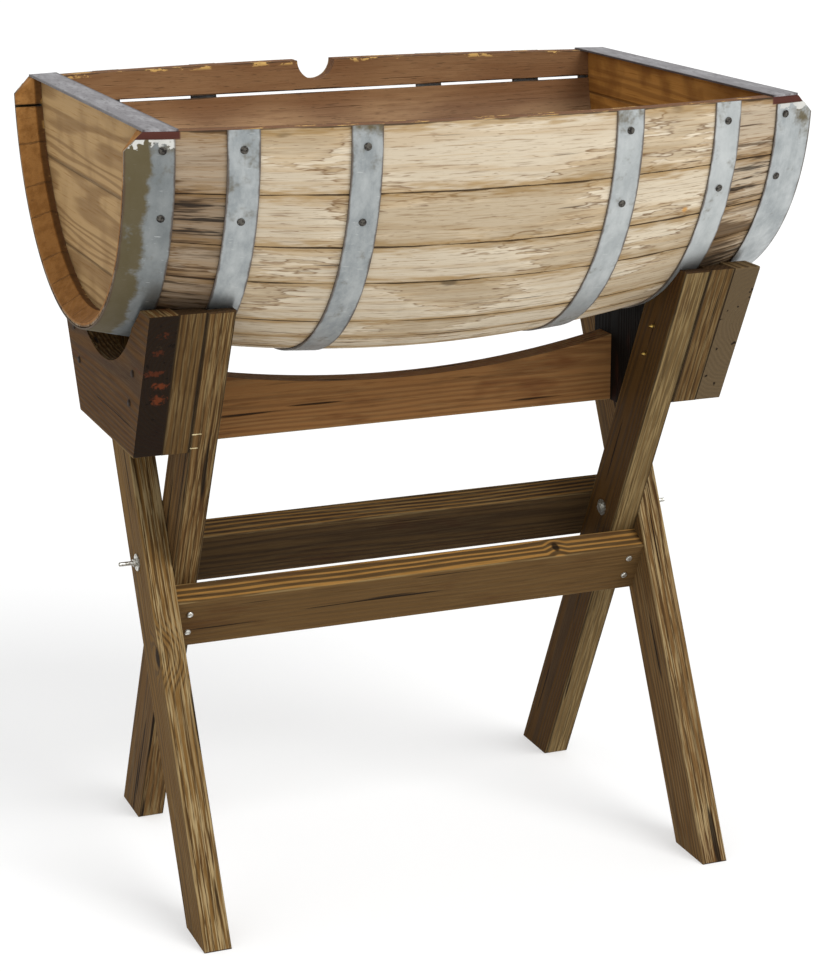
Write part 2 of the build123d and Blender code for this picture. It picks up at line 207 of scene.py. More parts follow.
def weatheredStaveOak(name, age, low, high):
    look = staveOak
    made, tree = newMaterial(name)
    place, x, z, angle = barrelPlace(tree)
    radius, depth = woodDepth(tree, x)
    shift = random.uniform(0, 3)
    arc = put(tree, "Math", (angle, bellyRadius), operation="MULTIPLY")
    arc = put(tree, "Math", (arc, shift), operation="ADD")
    along = put(tree, "Math", (x, shift * 0.7), operation="ADD")
    plank = put(tree, "CombineXYZ", {0: along, 1: arc, 2: depth})
    pith = shift + (low + high) / 2 * bellyRadius + random.uniform(-0.03, 0.03)
    centred = put(tree, "VectorMath", (plank, (0, pith, 0)), operation="SUBTRACT")
    rings, fibre, _ = woodFigure(tree, centred, look)
    patch, streak, feather, line, pore, split = (
        stretched(tree, plank, look[noise], 0.5)
        for noise in ("patch", "streak", "feather", "line", "pore", "split"))
    crack = put(tree, "MapRange", (split, 0.70, 0.76), **smooth)
    farOut = put(tree, "Math", (x,), operation="ABSOLUTE")

    # the joints, with an uneven width and a brown fringe
    fromLow = put(tree, "Math", (angle, low), operation="SUBTRACT")
    fromHigh = put(tree, "Math", (high, angle), operation="SUBTRACT")
    edge = put(tree, "Math", (fromLow, fromHigh), operation="MINIMUM")
    edge = put(tree, "Math", (edge, radius), operation="MULTIPLY")
    wander = put(tree, "MapRange", (streak, 0.3, 0.7, -0.0012, 0.0012), **smooth)
    gap = put(tree, "Math", (edge, wander), operation="SUBTRACT")
    joint = put(tree, "MapRange", (gap, 0.0002, 0.0013, 1.0, 0.0), **smooth)
    broken = put(tree, "MapRange", (streak, 0.35, 0.6, 0.45, 0.9), **smooth)
    darkJoint = put(tree, "Math", (joint, broken), operation="MULTIPLY")
    wander = put(tree, "MapRange", (feather, 0.3, 0.7, -0.006, 0.006), **smooth)
    fringe = put(tree, "Math", (edge, wander), operation="ADD")
    fringe = put(tree, "MapRange", (fringe, 0.0, 0.014, 0.72, 0.0), **smooth)

    # grey weathering, and stains that dried with a dark rim
    tone = random.uniform(-0.10, 0.16)
    greyPatch = put(tree, "MapRange", (patch, 0.40, 0.60, 0.60, 0.0), **smooth)
    greyLeft = put(tree, "MapRange", (x, -0.42, 0.10, 0.42 + tone, tone), **smooth)
    greyness = put(tree, "Math", (greyPatch, greyLeft), operation="ADD", use_clamp=True)
    ripple = put(tree, "MapRange", (feather, 0.25, 0.75, -0.09, 0.09), **smooth)
    wet = put(tree, "Math", (patch, ripple), operation="ADD")
    level = put(tree, "Math", (wet, look["waterLine"]), operation="SUBTRACT")
    level = put(tree, "Math", (level,), operation="ABSOLUTE")
    tide = put(tree, "MapRange", (level, 0.0, 0.030, 1.0, 0.0), **smooth)
    broken = put(tree, "MapRange", (streak, 0.38, 0.56, 0.10, 0.72), **smooth)
    tide = put(tree, "Math", (tide, broken), operation="MULTIPLY")

    # soot and char, mostly beyond the quarter hoops
    farLeft = put(tree, "MapRange", (x, -hoopOuter, -hoopInner, 1.0, 0.0), **smooth)
    farRight = put(tree, "MapRange", (x, hoopInner, hoopOuter, 0.0, 0.8), **smooth)
    nearHoops = put(tree, "Math", (farLeft, farRight), operation="MAXIMUM")
    blotch = put(tree, "Math", (streak, patch), operation="ADD")
    soot = put(tree, "MapRange", (blotch, 1.00, 1.16), **smooth)
    spread = put(tree, "MapRange", (nearHoops, 0.0, 1.0, 0.16, 0.85), **smooth)
    soot = put(tree, "Math", (soot, spread), operation="MULTIPLY")
    spread = put(tree, "MapRange", (farLeft, 0.0, 1.0, 0.0, age), **smooth)
    burnt = put(tree, "MapRange", (blotch, 0.76, 0.97, 0.45, 1.0), **smooth)
    burnt = put(tree, "Math", (spread, burnt), operation="MULTIPLY")
    spread = put(tree, "MapRange", (nearHoops, 0.0, 1.0, 0.0, age), **smooth)
    char = put(tree, "MapRange", (streak, 0.48, 0.60, 0.0, 1.0), **smooth)
    char = put(tree, "Math", (spread, char), operation="MULTIPLY")

    # beads of resin, smudges, and bare reddish wood at the rim
    drops = put(tree, "TexVoronoi", {"Vector": plank, "Scale": perMm(look["resinMm"]), "Randomness": 1.0})
    resin = put(tree, "MapRange", (drops, 0.03, 0.11, 1.0, 0.0), **smooth)
    spread = put(tree, "MapRange", (patch, 0.50, 0.60), **smooth)
    resin = put(tree, "Math", (resin, spread), operation="MULTIPLY")
    smudge = put(tree, "TexVoronoi", {"Vector": centred, "Scale": perMm(look["smudgeMm"]), "Randomness": 1.0})
    wander = put(tree, "MapRange", (feather, 0.3, 0.7, -0.05, 0.05), **smooth)
    smudge = put(tree, "Math", (smudge, wander), operation="ADD")
    rimFrom = cutHeight - look["bareRim"]
    bareRim = put(tree, "MapRange", (z, rimFrom - 0.001, rimFrom + 0.001), **smooth)
    atStrip = put(tree, "MapRange", (farOut, stripNear - 0.003, stripNear), **smooth)
    bareRim = put(tree, "Math", (bareRim, atStrip), operation="MULTIPLY")

    outer = addLayers(tree, tint(look["cream"]), look, (
        ("grey", greyness),
        ("ring", put(tree, "MapRange", (rings, 0.50, 1.0, 0.0, 0.30), **smooth)),
        ("ring", put(tree, "MapRange", (fibre, 0.50, 0.72, 0.0, 0.40), **smooth)),
        ("tide", put(tree, "MapRange", (line, 0.54, 0.70, 0.0, 0.55), **smooth)),
        ("stain", put(tree, "MapRange", (wet, 0.52, 0.58, 0.0, 0.42), **smooth)),
        ("tide", tide),
        ("tide", put(tree, "MapRange", (pore, 0.64, 0.74, 0.0, 0.55), **smooth)),
        ("stain", fringe),
        ("soot", soot),
        ("soot", burnt),
        ("tide", put(tree, "Math", (nearHoops, 0.45), operation="MULTIPLY")),
        ("char", char),
        ("resin", resin),
        ("crack", put(tree, "Math", (crack, 0.7), operation="MULTIPLY")),
        ("soot", put(tree, "MapRange", (smudge, 0.05, 0.16, 0.6, 0.0), **smooth)),
        ("crack", darkJoint),
        ("red", bareRim)))

    # the sawn top, chipped to bare wood here and there
    flake = put(tree, "VectorMath", (place, (0.35, 1, 1)), operation="MULTIPLY")
    flake = put(tree, "TexNoise",
                {"Vector": flake, "Scale": perMm(look["flakeMm"]), "Detail": 4.0, "Roughness": 0.7})
    sawn = addLayers(tree, tint(look["sawn"]), look, (
        ("wineDark", put(tree, "MapRange", (fibre, 0.4, 0.6), **smooth)),
        ("chip", put(tree, "MapRange", (flake, 0.58, 0.64, 0.0, 0.8), **smooth))))

    # the wine-stained inside, whose upper edge is chipped as well
    topEdge = put(tree, "MapRange", (z, cutHeight - 0.007, cutHeight - 0.002), **smooth)
    chipped = put(tree, "MapRange", (flake, 0.56, 0.60), **smooth)
    chipped = put(tree, "Math", (topEdge, chipped), operation="MULTIPLY")
    inner = addLayers(tree, tint(look["wine"]), look, (
        ("wineDark", put(tree, "MapRange", (patch, 0.38, 0.64, 0.0, 0.7), **smooth)),
        ("wineDark", put(tree, "MapRange", (feather, 0.45, 0.65, 0.0, 0.35), **smooth)),
        ("sawn", put(tree, "MapRange", (z, cutHeight - 0.09, cutHeight - 0.05, 0.0, 0.6), **smooth)),
        ("crack", put(tree, "MapRange", (pore, 0.62, 0.74, 0.0, 0.5), **smooth)),
        ("crack", put(tree, "Math", (joint, 0.8), operation="MULTIPLY")),
        ("chip", put(tree, "Math", (chipped, 0.85), operation="MULTIPLY"))))

    # the stave ends outside the heads, darker low down, with painted shade behind the bevel where the croze
    # lies in shadow
    smudge = put(tree, "TexNoise",
                 {"Vector": place, "Scale": perMm(look["endMm"]), "Detail": 4.0, "Roughness": 0.6})
    ends = addLayers(tree, tint(look["end"]), look, (
        ("endDark", put(tree, "MapRange", (smudge, 0.38, 0.66, 0.0, 0.8), **smooth)),
        ("crack", put(tree, "MapRange", (pore, 0.62, 0.74, 0.0, 0.35), **smooth)),
        ("crack", put(tree, "Math", (joint, 0.45), operation="MULTIPLY")),
        ("endDark", put(tree, "MapRange", (z, cutHeight - 0.17, cutHeight - 0.03, 0.45, 0.0), **smooth)),
        # painted shade in the dark crack colour on the inner wall between the bevel and the head
        ("crack", put(tree, "MapRange", (farOut, bevelFrom - 0.003, bevelFrom, 0.6, 0.0), **smooth))))

    # each finish in its own place
    atEnd = put(tree, "MapRange", (farOut, headFace - 0.002, headFace + 0.005), **smooth)
    body = put(tree, "Mix", {0: atEnd, 6: sawn, 7: ends}, **asColour)
    deeper = put(tree, "MapRange", (depth, 0.0010, 0.0035), **smooth)
    colour = put(tree, "Mix", {0: deeper, 6: outer, 7: body}, **asColour)
    wall = barrel["thickness"]
    atInside = put(tree, "MapRange", (depth, wall - 0.0035, wall - 0.0015), **smooth)
    betweenHeads = put(tree, "MapRange", (farOut, headFace - 0.005, headFace - 0.001, 1.0, 0.0), **smooth)
    atInside = put(tree, "Math", (atInside, betweenHeads), operation="MULTIPLY")
    colour = put(tree, "Mix", {0: atInside, 6: colour, 7: inner}, **asColour)

    height = put(tree, "Math", (fibre, 0.6), operation="MULTIPLY")
    height = put(tree, "Math", (crack, -1.0, height), operation="MULTIPLY_ADD")
    height = put(tree, "Math", (rings, 0.3, height), operation="MULTIPLY_ADD")
    height = put(tree, "Math", (joint, -1.6, height), operation="MULTIPLY_ADD")
    roughness = put(tree, "MapRange", (fibre, 0.3, 0.7, 0.74, 0.92), **smooth)
    closeMaterial(tree, colour, roughness, height, 0.0009, Specular_IOR_Level=0.2)
    return made


for number, name in enumerate(staveNames, 1):
    age = staveAge.get(name, staveAge["others"])
    dress(name, weatheredStaveOak(f"weathered stave oak {number}", age, *staveAngles(name)))
print("staves:", len(staveNames))


# Barrel heads.
# Flat oak boards: outside tan with a wavy figure, inside dark and golden from the wine.
headOak = {
    "tan": "#A98A5E", "tanLine": "#785A36", "inside": "#B27E3C", "insideLine": "#74491D", "dark": "#2C1B10",
    "ringMm": 9, "fibreMm": 2.6, "driftMm": 75, "wanderMm": 60, "wobble": 3.0, "pith": (0, 0.03, 0.06),
    "patchMm": 70,
}


def agedHeadOak(name, node, inward):
    look = headOak
    made, tree = newMaterial(name)
    place = put(tree, "TexCoord", out=3)
    away = put(tree, "VectorMath", (place, middle(node)), operation="SUBTRACT")
    x = put(tree, "SeparateXYZ", {0: away})
    y, z = x.node.outputs[1], x.node.outputs[2]
    plank = put(tree, "CombineXYZ", {0: y, 1: z, 2: x})
    offset = (random.uniform(-2, 2), random.uniform(-0.03, 0.03), 0)
    shifted = put(tree, "VectorMath", (plank, offset), operation="ADD")
    rings, fibre, _ = woodFigure(tree, shifted, look)
    patch = put(tree, "TexNoise", {"Vector": shifted, "Scale": perMm(look["patchMm"]), "Detail": 3.0})
    outer = addLayers(tree, tint(look["tan"]), look, (
        ("tanLine", put(tree, "MapRange", (rings, 0.35, 0.95, 0.0, 0.65), **smooth)),
        ("tanLine", put(tree, "MapRange", (patch, 0.45, 0.7, 0.0, 0.4), **smooth))))
    inner = addLayers(tree, tint(look["inside"]), look, (
        ("insideLine", put(tree, "MapRange", (rings, 0.3, 0.9, 0.0, 0.45), **smooth)),
        ("insideLine", put(tree, "MapRange", (patch, 0.45, 0.65, 0.0, 0.6), **smooth))))
    side = put(tree, "Math", (x, inward), operation="MULTIPLY")
    side = put(tree, "MapRange", (side, -0.002, 0.002), **smooth)
    colour = put(tree, "Mix", {0: side, 6: outer, 7: inner}, **asColour)
    low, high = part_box(node)
    tall = (high.z - low.z) / 2
    joint = put(tree, "Math", (z,), operation="ABSOLUTE")
    joint = put(tree, "MapRange", (joint, tall - 0.003, tall - 0.0005), **smooth)
    colour = addLayers(tree, colour, look, (
        ("dark", put(tree, "Math", (joint, 0.5), operation="MULTIPLY")),
        ("insideLine", put(tree, "MapRange", (fibre, 0.55, 0.75, 0.0, 0.5), **smooth))))
    height = put(tree, "Math", (rings, 0.5), operation="MULTIPLY")
    height = put(tree, "Math", (fibre, 0.5, height), operation="MULTIPLY_ADD")
    height = put(tree, "Math", (joint, -1.5, height), operation="MULTIPLY_ADD")
    roughness = put(tree, "MapRange", (fibre, 0.3, 0.7, 0.7, 0.9), **smooth)
    closeMaterial(tree, colour, roughness, height, 0.0008, Specular_IOR_Level=0.15)
    return made


for name in sorted(nodes):
    if "head_board" in name:
        inward = 1 if name.startswith("left") else -1
        dress(name, agedHeadOak(f"aged head oak {name[0]}{name[-1]}", name, inward))
print("heads dressed")


# Hoops.
# Hot-dip galvanised strip: blue-grey zinc gone matt, faint spangle, smears, and olive and rust where it weeps.
hoopSteel = {
    "zinc": "#B3B7B7", "zincDark": "#8E9496", "smear": "#C9CCCA", "tarnish": "#52451E", "rust": "#4E3A28",
    "shade": "#5B5F5E", "paint": "#CFCEC8",
    "spangleMm": 9, "smearMm": 26, "scratchMm": 3, "tarnishMm": 48, "daubMm": 9, "gritMm": 2.5,
}


def dullGalvanised(name, rustiness, shade, low, high):
    look = hoopSteel
    made, tree = newMaterial(name)
    place, x, z, angle = barrelPlace(tree)
    arc = put(tree, "Math", (angle, bellyRadius), operation="MULTIPLY")
    strip = put(tree, "CombineXYZ", {0: x, 1: arc})
    smear = put(tree, "VectorMath", (strip, (1, 0.45, 1)), operation="MULTIPLY")
    smear = put(tree, "TexNoise",
                {"Vector": smear, "Scale": perMm(look["smearMm"]), "Detail": 5.0, "Roughness": 0.65})
    spangle = put(tree, "TexVoronoi", {"Vector": strip, "Scale": perMm(look["spangleMm"])}, out=1)
    spangle = put(tree, "SeparateXYZ", {0: spangle})
    scratch = put(tree, "VectorMath", (strip, (0.2, 1, 1)), operation="MULTIPLY")
    scratch = put(tree, "TexNoise", {"Vector": scratch, "Scale": perMm(look["scratchMm"]), "Detail": 2.0})

    # olive tarnish, more at the top, and on the left side of the left chime hoop
    tarnish = put(tree, "TexNoise",
                  {"Vector": place, "Scale": perMm(look["tarnishMm"]), "Detail": 4.0, "Roughness": 0.7})
    nearTop = put(tree, "MapRange", (z, cutHeight - 0.07, cutHeight, 0.0, 0.20), **smooth)
    tarnish = put(tree, "Math", (tarnish, nearTop), operation="ADD")
    wide = high - low
    nearLeft = put(tree, "MapRange", (x, low + wide * 0.64, low + wide * 0.30, 0.0, rustiness), **smooth)
    tarnish = put(tree, "Math", (tarnish, nearLeft), operation="ADD")
    tarnished = put(tree, "MapRange", (tarnish, 0.58, 0.80, 0.0, 0.92), **smooth)

    # white sealant that has run down from the cap strip, on the chime hoops only
    daub = put(tree, "TexNoise", {"Vector": place, "Scale": perMm(look["daubMm"]), "Detail": 3.0})
    nearTop = put(tree, "MapRange", (z, cutHeight - 0.030, cutHeight - 0.010, 0.0, 0.42), **smooth)
    daub = put(tree, "Math", (daub, nearTop), operation="ADD")
    daub = put(tree, "MapRange", (daub, 0.80, 0.86), **smooth)
    paint = put(tree, "Math", (daub, 0.9 if "chime" in name else 0.0), operation="MULTIPLY")

    # rust along both edges
    fromLow = put(tree, "Math", (x, low), operation="SUBTRACT")
    fromHigh = put(tree, "Math", (high, x), operation="SUBTRACT")
    edge = put(tree, "Math", (fromLow, fromHigh), operation="MINIMUM")
    wander = put(tree, "MapRange", (smear, 0.3, 0.7, -0.001, 0.001), **smooth)
    edge = put(tree, "Math", (edge, wander), operation="ADD")

    # painted shade in the shade colour when a hoop's amount is negative, painted light in the pale smear colour
    # when it is positive
    paintedLightAndShade = ("shade" if shade < 0 else "smear", abs(shade))
    colour = addLayers(tree, tint(look["zincDark"]), look, (
        ("zinc", put(tree, "MapRange", (smear, 0.30, 0.70), **smooth)),
        ("smear", put(tree, "Math", (spangle, 0.12), operation="MULTIPLY")),
        ("smear", put(tree, "MapRange", (smear, 0.62, 0.72, 0.0, 0.25), **smooth)),
        paintedLightAndShade,
        ("smear", put(tree, "MapRange", (scratch, 0.66, 0.74, 0.0, 0.5), **smooth)),
        ("tarnish", tarnished),
        ("paint", paint),
        ("rust", put(tree, "MapRange", (edge, 0.0005, 0.0030, 0.75, 0.0), **smooth))))

    polish = put(tree, "MapRange", (smear, 0.3, 0.7, 0.52, 0.40), **smooth)
    dulled = put(tree, "Math", (tarnished, 0.3), operation="MULTIPLY")
    rough = put(tree, "Math", (polish, dulled), operation="ADD")
    metal = put(tree, "MapRange", (tarnished, 0.0, 1.0, 0.75, 0.15), **smooth)
    grit = put(tree, "TexNoise", {"Vector": place, "Scale": perMm(look["gritMm"]), "Detail": 2.0})
    height = put(tree, "Math", (grit, 0.3), operation="MULTIPLY")
    height = put(tree, "Math", (height, smear), operation="ADD")
    closeMaterial(tree, colour, rough, height, 0.0004, Metallic=metal)
    return made


hoopAge = {  # how much olive tarnish shows on the left, and each hoop's painted shade when below zero and painted light when above zero
    "left_chime_hoop": (0.36, -0.62), "left_quarter_hoop": (-0.02, -0.12), "left_bilge_hoop": (-0.02, -0.18),
    "right_bilge_hoop": (0.0, 0.30), "right_quarter_hoop": (0.0, 0.45), "right_chime_hoop": (-0.1, 0.12),
}
for name in sorted(hoopAge):
    low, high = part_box(name)
    dress(name, dullGalvanised(f"dull galvanised {name}", *hoopAge[name], low.x, high.x))
print("hoops dressed")


# Cap strips.
# Flat bar over the sawn ends: older zinc, mauve-grey and scuffed, with dark edges.
capSteel = {"grey": "#7F7A7C", "dark": "#463F3E", "pale": "#A9A7A8", "scuffMm": 30, "grainMm": 4}


def scuffedStrip(name, node):
    look = capSteel
    made, tree = newMaterial(name)
    place = put(tree, "TexCoord", out=3)
    away = put(tree, "VectorMath", (place, middle(node)), operation="SUBTRACT")
    longWays = put(tree, "VectorMath", (away, (1, 0.3, 1)), operation="MULTIPLY")
    scuff = put(tree, "TexNoise",
                {"Vector": longWays, "Scale": perMm(look["scuffMm"]), "Detail": 5.0, "Roughness": 0.7})
    grain = put(tree, "TexNoise", {"Vector": longWays, "Scale": perMm(look["grainMm"]), "Detail": 2.0})
    low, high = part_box(node)
    half = (high.x - low.x) / 2
    side = put(tree, "Math", (put(tree, "SeparateXYZ", {0: away}),), operation="ABSOLUTE")
    colour = addLayers(tree, tint(look["grey"]), look, (
        ("pale", put(tree, "MapRange", (scuff, 0.38, 0.62), **smooth)),
        ("dark", put(tree, "MapRange", (grain, 0.5, 0.75, 0.0, 0.6), **smooth)),
        ("dark", put(tree, "MapRange", (side, half - 0.0045, half - 0.0008, 0.0, 0.85), **smooth))))
    roughness = put(tree, "MapRange", (scuff, 0.3, 0.7, 0.38, 0.6), **smooth)
    closeMaterial(tree, colour, roughness, grain, 0.0003, Metallic=0.7)
    return made


for end in ("left", "right"):
    dress(f"{end}_cap_strip", scuffedStrip(f"scuffed zinc strip {end}", f"{end}_cap_strip"))


# Screws and bolts.
# Plated steel: even colour with grime in the hollows. Saddle screw heads are stained over with the boards.
fasteners = {  # bright and dull colours, the least roughness, and how metallic
    "tarnished steel screw": ("#57534C", "#1F1B18", 0.45, 0.6),
    "bright zinc screw": ("#D8D8D2", "#8B877C", 0.28, 0.9),
    "yellow zinc screw": ("#C9A85A", "#7A5F2C", 0.32, 0.9),
}
stainedHead = {"stain": "#2E2116", "roughening": 0.5}


def screwSteel(name, stainedPast=0.0):  # the stain starts this far from the middle, along the barrel
    bright, dull, rough, metallic = fasteners[name]
    made, tree = newMaterial(name)
    place = put(tree, "TexCoord", out=3)
    grime = put(tree, "TexNoise", {"Vector": place, "Scale": perMm(3), "Detail": 3.0})
    hollow = put(tree, "MapRange", (grime, 0.40, 0.62), **smooth)
    colour = put(tree, "Mix", {0: hollow, 6: tint(bright), 7: tint(dull)}, **asColour)
    roughness = put(tree, "MapRange", (grime, 0.3, 0.7, rough, rough + 0.2), **smooth)
    if stainedPast:
        across = put(tree, "Math", (put(tree, "SeparateXYZ", {0: place}),), operation="ABSOLUTE")
        covered = put(tree, "MapRange", (across, stainedPast, stainedPast + 0.002), **smooth)
        colour = addLayers(tree, colour, stainedHead, (("stain", covered),))
        roughness = put(tree, "Math", (covered, stainedHead["roughening"], roughness), operation="MULTIPLY_ADD")
        metallic = put(tree, "MapRange", (covered, 0.0, 1.0, metallic, 0.0))
    closeMaterial(tree, colour, roughness, grime, 0.0002, Metallic=metallic)
    return made


darkScrew = screwSteel("tarnished steel screw")
zincScrew = screwSteel("bright zinc screw")
brassScrew = screwSteel("yellow zinc screw", -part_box("left_saddle_board")[1].x)
dress("hoop_screws", darkScrew)
dress("stretcher_screws", zincScrew)
dress("rail_screws", darkScrew)
dress("saddle_screws", brassScrew)
for end in ("left", "right"):
    for part in ("pivot_bolt", "pivot_washers", "pivot_nut"):
        dress(f"{end}_{part}", zincScrew)
print("steel dressed")


# Stand timber.
# Planed softwood with a dark brown stain, worn pale where the grain has lifted, with knots and drying cracks.
pine = {
    "early": "#5F4526", "late": "#33220F", "pale": "#8B7650", "red": "#562814", "dark": "#181009",
    "gold": "#A77A3C", "end": "#2E2015",
    "ringMm": 6, "fibreMm": 2.2, "driftMm": 70, "wanderMm": 30, "wobble": 1.8, "pith": (0, 0.012, 0.055),
    "patch": (0.25, 45, 3.0, 0.6), "streak": (0.05, 6, 3.0, 0.7), "split": (0.035, 9, 1.0, 0.5),
    "edgeWorn": 0.75, "faceWorn": 0.22,  # how much pale lifted grain shows on narrow edges and on wide faces
    "edgeRings": 0.75, "faceRings": 0.55, "redness": 0.15, "cracked": 0.70, "endCover": 0.72,
    "edgeGold": 0.0, "edgeLift": 0.0,  # golden or pale wood showing on narrow edges
    "seam": 0.0,  # shade in the joint where boards are screwed face to face
}
boards = {  # section sizes, and how far the legs lean from upright
    "width": 0.079, "thickness": 0.038, "stretcherWidth": 0.085, "lean": math.radians(26.6),
    "shadedWidth": 0.4,  # wider than the rail blocks, so that no wear shows on their edges
}


def stainedPine(name, node, along, across, halfWidth, look=(), knots=(), spots=()):
    wood = {**pine, **dict(look)}
    made, tree = newMaterial(name)
    along, across = Vector(along), Vector(across)
    through = along.cross(across)
    place = put(tree, "TexCoord", out=3)
    away = put(tree, "VectorMath", (place, middle(node)), operation="SUBTRACT")
    u, v, w = (put(tree, "VectorMath", (away, axis), out=1, operation="DOT_PRODUCT")
               for axis in (along, across, through))
    plank = put(tree, "CombineXYZ", {0: u, 1: v, 2: w})
    normal = put(tree, "NewGeometry", out=3)
    facing = []
    for axis in (across, along):  # the narrow edges and the sawn ends
        turned = put(tree, "VectorMath", (normal, axis), out=1, operation="DOT_PRODUCT")
        turned = put(tree, "Math", (turned,), operation="ABSOLUTE")
        facing.append(put(tree, "MapRange", (turned, 0.5, 0.85), **smooth))
    onEdge, onEnd = facing
    offset = (random.uniform(-4, 4), random.uniform(-0.012, 0.012), random.uniform(-0.01, 0.01))
    shifted = put(tree, "VectorMath", (plank, offset), operation="ADD")
    moved = [(Vector(spot) + Vector(offset), size) for spot, size in knots]
    rings, fibre, core = woodFigure(tree, shifted, wood, moved)
    patch, streak, split = (stretched(tree, shifted, wood[noise]) for noise in ("patch", "streak", "split"))
    crack = put(tree, "MapRange", (split, wood["cracked"], wood["cracked"] + 0.05), **smooth)

    # dark rings, and golden early wood on the edges of some boards
    late = put(tree, "MapRange", (rings, 0.30, 0.95), **smooth)
    ringed = put(tree, "MapRange", (onEdge, 0.0, 1.0, wood["faceRings"], wood["edgeRings"]), **smooth)
    late = put(tree, "Math", (late, ringed), operation="MULTIPLY")
    golden = put(tree, "MapRange", (rings, 0.10, 0.45, wood["edgeGold"], 0.0), **smooth)
    golden = put(tree, "Math", (onEdge, golden), operation="MULTIPLY")

    # pale fibres where the grain has lifted
    lifted = put(tree, "MapRange", (fibre, 0.46, 0.62), **smooth)
    spread = put(tree, "MapRange", (patch, 0.36, 0.58, 0.45, 1.0), **smooth)
    lifted = put(tree, "Math", (lifted, spread), operation="MULTIPLY")
    worn = put(tree, "MapRange", (onEdge, 0.0, 1.0, wood["faceWorn"], wood["edgeWorn"]), **smooth)
    lifted = put(tree, "Math", (lifted, worn), operation="MULTIPLY")

    # wear along the long corners, and the shade between boards
    side = put(tree, "Math", (v,), operation="ABSOLUTE")
    side = put(tree, "Math", (halfWidth, side), operation="SUBTRACT")
    face = put(tree, "Math", (w,), operation="ABSOLUTE")
    face = put(tree, "Math", (boards["thickness"] / 2, face), operation="SUBTRACT")
    rim = put(tree, "Math", (side, face), operation="MAXIMUM")
    wear = put(tree, "MapRange", (rim, 0.0008, 0.0035, 1.0, 0.0), **smooth)
    broken = put(tree, "MapRange", (streak, 0.42, 0.60, 0.05, 0.55), **smooth)
    wear = put(tree, "Math", (wear, broken), operation="MULTIPLY")
    seam = put(tree, "MapRange", (face, 0.0012, 0.0036, wood["seam"], 0.0), **smooth)
    seam = put(tree, "Math", (onEdge, seam), operation="MULTIPLY")

    colour = addLayers(tree, tint(wood["early"]), wood, (
        ("late", late),
        ("pale", put(tree, "Math", (onEdge, wood["edgeLift"]), operation="MULTIPLY")),
        ("gold", golden),
        ("late", put(tree, "MapRange", (streak, 0.50, 0.70, 0.0, 0.5), **smooth)),
        ("late", put(tree, "MapRange", (patch, 0.55, 0.75, 0.0, 0.5), **smooth)),
        ("pale", lifted),
        ("red", put(tree, "MapRange", (patch, 0.58, 0.72, 0.0, wood["redness"]), **smooth)),
        ("pale", wear),
        ("dark", seam),
        ("end", put(tree, "Math", (onEnd, wood["endCover"]), operation="MULTIPLY")),
        ("dark", put(tree, "Math", (crack, 0.9), operation="MULTIPLY")),
        ("dark", put(tree, "Math", (core, 0.9), operation="MULTIPLY"))))
    colour = addSpots(tree, colour, plank, spots)
    height = put(tree, "Math", (rings, 0.45), operation="MULTIPLY")
    height = put(tree, "Math", (fibre, 0.6, height), operation="MULTIPLY_ADD")
    height = put(tree, "Math", (crack, -1.6, height), operation="MULTIPLY_ADD")
    roughness = put(tree, "MapRange", (rings, 0.2, 0.9, 0.86, 0.74), **smooth)
    closeMaterial(tree, colour, roughness, height, 0.0010, Specular_IOR_Level=0.08)
    return made


